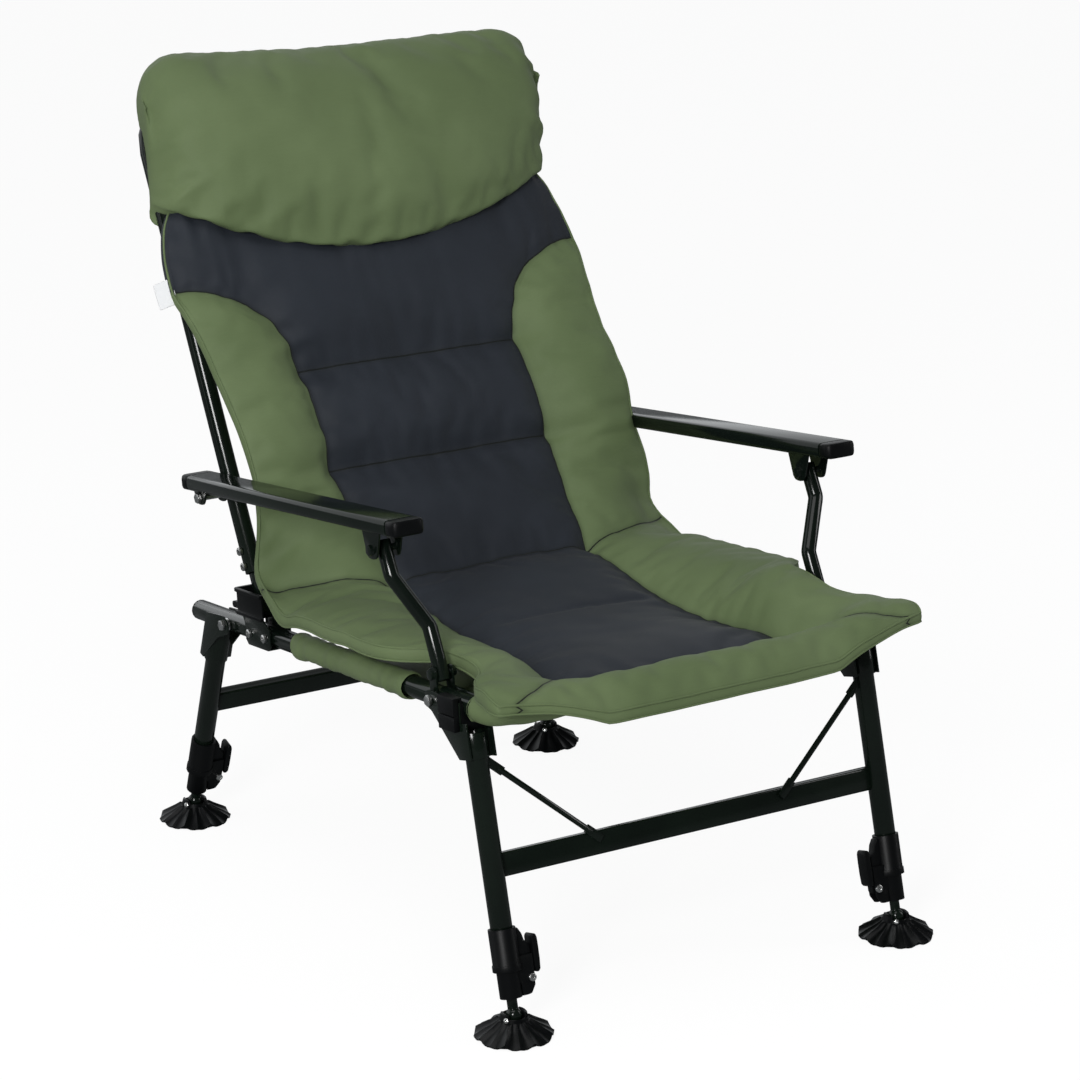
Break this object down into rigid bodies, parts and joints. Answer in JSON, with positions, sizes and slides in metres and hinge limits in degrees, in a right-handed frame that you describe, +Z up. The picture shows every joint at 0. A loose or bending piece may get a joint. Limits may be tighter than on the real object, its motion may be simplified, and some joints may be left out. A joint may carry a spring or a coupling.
{
  "type": "carp fishing chair",
  "caption": "Folding reclining fishing chair: steel tube frame, padded high-back cover with headrest pillow, armrests, telescopic legs and swivelling mud feet.",
  "frame": {"origin": "on the floor, under the middle of the chair's outline", "axes": "+X across the seat, +Y towards the rear, +Z up; left names are at -X, seen from the front"},
  "size_m": [0.625, 0.9604, 0.9556],
  "materials": {
    "frame_steel": "gloss",
    "black_plastic": "satin",
    "zinc_bolt": "bright",
    "green_fabric": "matte",
    "black_fabric": "matte"
  },
  "bodies": {
    "seat": {"seat_tube": "frame_steel", "tube_plug_right": "black_plastic", "tube_plug_left": "black_plastic", "recliner_bracket_right": "frame_steel", "recliner_bracket_left": "frame_steel", "recliner_housing_right": "black_plastic", "recliner_housing_left": "black_plastic", "post_ear_right": "frame_steel", "post_ear_left": "frame_steel", "seat_sling": "green_fabric", "front_sleeve": "green_fabric", "seat_cushion": "green_fabric", "bend_pad": "black_fabric"},
    "release_right": {"release_lever_right": "black_plastic"},
    "release_left": {"release_lever_left": "black_plastic"},
    "front_legs": {"front_leg_right": "frame_steel", "front_leg_left": "frame_steel", "front_leg_bolt_right": "zinc_bolt", "front_leg_bolt_left": "zinc_bolt", "front_crossbar": "frame_steel", "front_brace_right": "frame_steel", "front_brace_left": "frame_steel", "snap_clip_right": "black_plastic", "snap_clip_left": "black_plastic", "leg_clamp_front_right": "black_plastic", "leg_clamp_front_left": "black_plastic"},
    "rear_legs": {"rear_leg_right": "frame_steel", "rear_leg_left": "frame_steel", "rear_leg_bolt_right": "zinc_bolt", "rear_leg_bolt_left": "zinc_bolt", "rear_crossbar": "frame_steel", "leg_clamp_rear_right": "black_plastic", "leg_clamp_rear_left": "black_plastic"},
    "cam_front_right": {"cam_lever_front_right": "black_plastic"},
    "cam_front_left": {"cam_lever_front_left": "black_plastic"},
    "cam_rear_right": {"cam_lever_rear_right": "black_plastic"},
    "cam_rear_left": {"cam_lever_rear_left": "black_plastic"},
    "slide_front_right": {"extension_front_right": "frame_steel"},
    "slide_front_left": {"extension_front_left": "frame_steel"},
    "slide_rear_right": {"extension_rear_right": "frame_steel"},
    "slide_rear_left": {"extension_rear_left": "frame_steel"},
    "foot_fr": {"foot_front_right": "black_plastic"},
    "foot_fl": {"foot_front_left": "black_plastic"},
    "foot_rr": {"foot_rear_right": "black_plastic"},
    "foot_rl": {"foot_rear_left": "black_plastic"},
    "back": {"back_tube": "frame_steel", "back_neck_right": "frame_steel", "back_neck_left": "frame_steel", "back_cushion": "green_fabric", "arm_rear_bolt_right": "zinc_bolt", "arm_rear_bolt_left": "zinc_bolt"},
    "arm_right": {"armrest_right": "frame_steel", "arm_front_cap_right": "black_plastic", "arm_rear_cap_right": "black_plastic"},
    "arm_left": {"armrest_left": "frame_steel", "arm_front_cap_left": "black_plastic", "arm_rear_cap_left": "black_plastic"},
    "post_right": {"arm_post_right": "frame_steel"},
    "post_left": {"arm_post_left": "frame_steel"}
  },
  "joints": [
    {"name": "back_fold", "type": "hinge", "parent": "seat", "child": "back", "pos_m": [0, 0.14428, 0.33108], "axis": [1, 0, 0], "range_deg": [-18, 80], "deforming": ["bend_pad"]},
    {"name": "arm_right_turn", "type": "hinge", "parent": "back", "child": "arm_right", "pos_m": [0.2895, 0.21432, 0.46225], "axis": [1, 0, 0], "range_deg": [-80, 18]},
    {"name": "arm_left_turn", "type": "hinge", "parent": "back", "child": "arm_left", "pos_m": [-0.2895, 0.21432, 0.46225], "axis": [1, 0, 0], "range_deg": [-80, 18]},
    {"name": "post_right_turn", "type": "hinge", "parent": "seat", "child": "post_right", "pos_m": [0.258, -0.27774, 0.37543], "axis": [1, 0, 0], "range_deg": [-18, 80]},
    {"name": "post_left_turn", "type": "hinge", "parent": "seat", "child": "post_left", "pos_m": [-0.258, -0.27774, 0.37543], "axis": [1, 0, 0], "range_deg": [-18, 80]},
    {"name": "release_right_turn", "type": "hinge", "parent": "seat", "child": "release_right", "pos_m": [0.258, 0.1687, 0.3261], "axis": [1, 0, 0], "range_deg": [0, 15], "stiffness_Nm_per_rad": 0.5},
    {"name": "release_left_turn", "type": "hinge", "parent": "seat", "child": "release_left", "pos_m": [-0.258, 0.1687, 0.3261], "axis": [1, 0, 0], "range_deg": [0, 15], "stiffness_Nm_per_rad": 0.5},
    {"name": "front_leg_fold", "type": "hinge", "parent": "seat", "child": "front_legs", "pos_m": [0, -0.28374, 0.34851], "axis": [1, 0, 0], "range_deg": [0, 78]},
    {"name": "rear_leg_fold", "type": "hinge", "parent": "seat", "child": "rear_legs", "pos_m": [0, 0.2172, 0.29586], "axis": [-1, 0, 0], "range_deg": [0, 108]},
    {"name": "cam_front_right_turn", "type": "hinge", "parent": "front_legs", "child": "cam_front_right", "pos_m": [0.237, -0.42375, 0.06069], "axis": [0, 0.9655, -0.2605], "range_deg": [-80, 0]},
    {"name": "cam_front_left_turn", "type": "hinge", "parent": "front_legs", "child": "cam_front_left", "pos_m": [-0.237, -0.42375, 0.06069], "axis": [0, -0.9655, 0.2605], "range_deg": [-80, 0]},
    {"name": "cam_rear_right_turn", "type": "hinge", "parent": "rear_legs", "child": "cam_rear_right", "pos_m": [0.237, 0.32972, 0.05997], "axis": [0, 0.9466, 0.3223], "range_deg": [-80, 0]},
    {"name": "cam_rear_left_turn", "type": "hinge", "parent": "rear_legs", "child": "cam_rear_left", "pos_m": [-0.237, 0.32972, 0.05997], "axis": [0, -0.9466, -0.3223], "range_deg": [-80, 0]},
    {"name": "slide_front_right_move", "type": "slide", "parent": "front_legs", "child": "slide_front_right", "axis": [0, 0.2605, 0.9655], "range_m": [-0.1, 0]},
    {"name": "slide_front_left_move", "type": "slide", "parent": "front_legs", "child": "slide_front_left", "axis": [0, 0.2605, 0.9655], "range_m": [-0.1, 0]},
    {"name": "slide_rear_right_move", "type": "slide", "parent": "rear_legs", "child": "slide_rear_right", "axis": [0, -0.3223, 0.9466], "range_m": [-0.1, 0]},
    {"name": "slide_rear_left_move", "type": "slide", "parent": "rear_legs", "child": "slide_rear_left", "axis": [0, -0.3223, 0.9466], "range_m": [-0.1, 0]},
    {"name": "foot_front_right_tilt", "type": "hinge", "parent": "slide_front_right", "child": "foot_fr", "pos_m": [0.262, -0.43365, 0.024], "axis": [1, 0, 0], "range_deg": [-30, 8]},
    {"name": "foot_front_left_tilt", "type": "hinge", "parent": "slide_front_left", "child": "foot_fl", "pos_m": [-0.262, -0.43365, 0.024], "axis": [1, 0, 0], "range_deg": [-30, 8]},
    {"name": "foot_rear_right_tilt", "type": "hinge", "parent": "slide_rear_right", "child": "foot_rr", "pos_m": [0.262, 0.34197, 0.024], "axis": [1, 0, 0], "range_deg": [-4, 30]},
    {"name": "foot_rear_left_tilt", "type": "hinge", "parent": "slide_rear_left", "child": "foot_rl", "pos_m": [-0.262, 0.34197, 0.024], "axis": [1, 0, 0], "range_deg": [-4, 30]}
  ],
  "couplings": [
    {"joint": "arm_right_turn", "follows": "back_fold", "ratio": -1},
    {"joint": "arm_left_turn", "follows": "back_fold", "ratio": -1},
    {"joint": "post_right_turn", "follows": "back_fold", "ratio": 1},
    {"joint": "post_left_turn", "follows": "back_fold", "ratio": 1}
  ]
}
